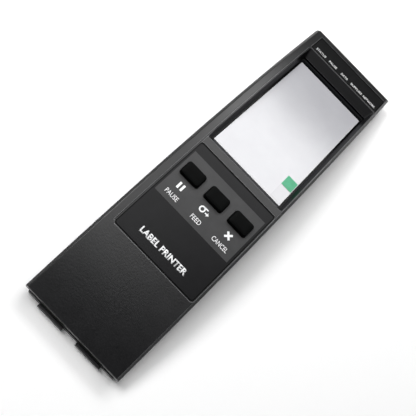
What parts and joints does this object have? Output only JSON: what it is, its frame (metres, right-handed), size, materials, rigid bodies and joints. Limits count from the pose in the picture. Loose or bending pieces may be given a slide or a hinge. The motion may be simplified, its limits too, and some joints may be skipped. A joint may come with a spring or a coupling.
{
  "type": "label printer control panel",
  "caption": "Bowed front control panel of a desktop label printer: portrait touch display under film, status strip, three sprung keys and a rear frame with hook tabs.",
  "frame": {"origin": "under the middle of the assembly, on the flat back of the rear frame", "axes": "+X across the panel to the right as it is read, +Y up the panel from its bottom end to its top end, +Z out of the face"},
  "size_m": [0.073, 0.2734, 0.0324],
  "materials": {
    "bezel_plastic": "fine moulded grain",
    "frame_plastic": "fine spark texture",
    "black_screws": "black zinc",
    "brass_inserts": "knurled",
    "label_dark": "matt polyester",
    "label_charcoal": "matt polyester",
    "key_rubber": "soft-touch",
    "plunger_plastic": "natural",
    "switch_plastic": "moulded",
    "film_white": "satin protective film",
    "tab_green": "printed tape",
    "tab_clear": "clear tape",
    "cover_glass": "black-printed cover glass",
    "foam_black": "closed-cell foam",
    "module_steel": "stamped",
    "lcd_glass": "polarised",
    "light_guide": "milky acrylic",
    "bracket_steel": "zinc plated",
    "plated_screws": "zinc plated",
    "flex_amber": "polyimide",
    "board_green": "solder mask",
    "led_white": "moulded",
    "clear_acrylic": "polished clear",
    "connector_ivory": "moulded",
    "ribbon_white": "flat flexible cable",
    "chip_black": "moulded epoxy",
    "crystal_can": "stamped",
    "capacitor_can": "satin",
    "resistor_ceramic": "glazed",
    "connector_black": "moulded",
    "pin_gold": "gold flash"
  },
  "bodies": {
    "root": {"front_bezel": "bezel_plastic", "rear_frame": "frame_plastic", "frame_screws": "black_screws", "mounting_inserts": "brass_inserts", "status_label": "label_dark", "key_label": "label_charcoal", "switch_bodies": "switch_plastic", "display_film": "film_white", "pull_tab": "tab_green", "tab_base": "tab_clear", "touch_glass": "cover_glass", "display_gasket": "foam_black", "lcd_frame": "module_steel", "lcd_cell": "lcd_glass", "backlight_guide": "light_guide", "display_bracket": "bracket_steel", "bracket_screws": "plated_screws", "display_flex": "flex_amber", "status_board": "board_green", "status_leds": "led_white", "light_pipes": "clear_acrylic", "status_socket": "connector_ivory", "status_board_screws": "plated_screws", "status_ribbon": "ribbon_white", "control_board": "board_green", "board_screws": "plated_screws", "controller_chip": "chip_black", "flash_chip": "chip_black", "crystal": "crystal_can", "capacitors": "capacitor_can", "chip_resistors": "resistor_ceramic", "harness_connector": "connector_black", "harness_pins": "pin_gold", "display_connector": "connector_ivory", "ribbon_connector": "connector_ivory"},
    "pause_button": {"pause_key": "key_rubber", "pause_plunger": "plunger_plastic"},
    "feed_button": {"feed_key": "key_rubber", "feed_plunger": "plunger_plastic"},
    "cancel_button": {"cancel_key": "key_rubber", "cancel_plunger": "plunger_plastic"}
  },
  "joints": [
    {"name": "pause_press", "type": "slide", "parent": "root", "child": "pause_button", "axis": [0, 0.0503, -0.9987], "range_m": [0, 0.0012], "stiffness_N_per_m": 600, "springref_m": -0.0008},
    {"name": "feed_press", "type": "slide", "parent": "root", "child": "feed_button", "axis": [0, 0.0503, -0.9987], "range_m": [0, 0.0012], "stiffness_N_per_m": 600, "springref_m": -0.0008},
    {"name": "cancel_press", "type": "slide", "parent": "root", "child": "cancel_button", "axis": [0, 0.0503, -0.9987], "range_m": [0, 0.0012], "stiffness_N_per_m": 600, "springref_m": -0.0008}
  ]
}
